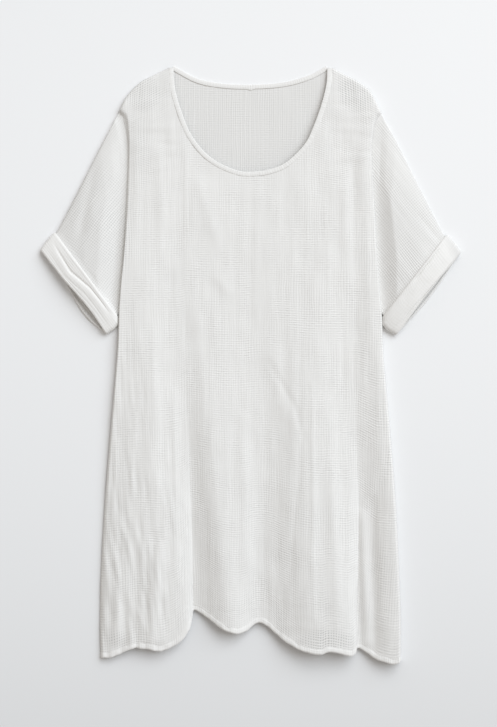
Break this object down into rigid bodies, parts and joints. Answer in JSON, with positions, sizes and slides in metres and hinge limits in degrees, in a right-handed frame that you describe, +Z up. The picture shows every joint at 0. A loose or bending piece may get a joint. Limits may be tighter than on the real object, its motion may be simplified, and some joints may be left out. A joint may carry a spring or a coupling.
{
  "type": "crew-neck dress",
  "caption": "Loose white open-weave cotton dress with a wide scooped crew neck, short dropped sleeves and turned-up cuffs, laid flat with its front up.",
  "frame": {"origin": "on the surface that the dress lies on, under the middle of its outline", "axes": "+X to the right seen from above, +Y from the hem towards the neck, +Z up from the surface"},
  "size_m": [0.6474, 0.9232, 0.0325],
  "materials": {
    "panel_gauze": "warm white open-weave cotton gauze, matt",
    "sleeve_gauze": "warm white open-weave cotton gauze, matt, ribbed along the sleeve",
    "cuff_gauze": "the same gauze doubled and turned up, matt",
    "neck_binding": "bias strip folded over the neck edge and stitched, matt",
    "rolled_hem": "narrow rolled and stitched gauze hem, slightly puckered, matt"
  },
  "bodies": {
    "root": {"back_panel": "panel_gauze", "front_panel": "panel_gauze", "sleeve_left": "sleeve_gauze", "sleeve_right": "sleeve_gauze", "cuff_left": "cuff_gauze", "cuff_right": "cuff_gauze", "neck_binding_front": "neck_binding", "neck_binding_back": "neck_binding", "hem_front": "rolled_hem", "hem_back": "rolled_hem"}
  },
  "joints": []
}
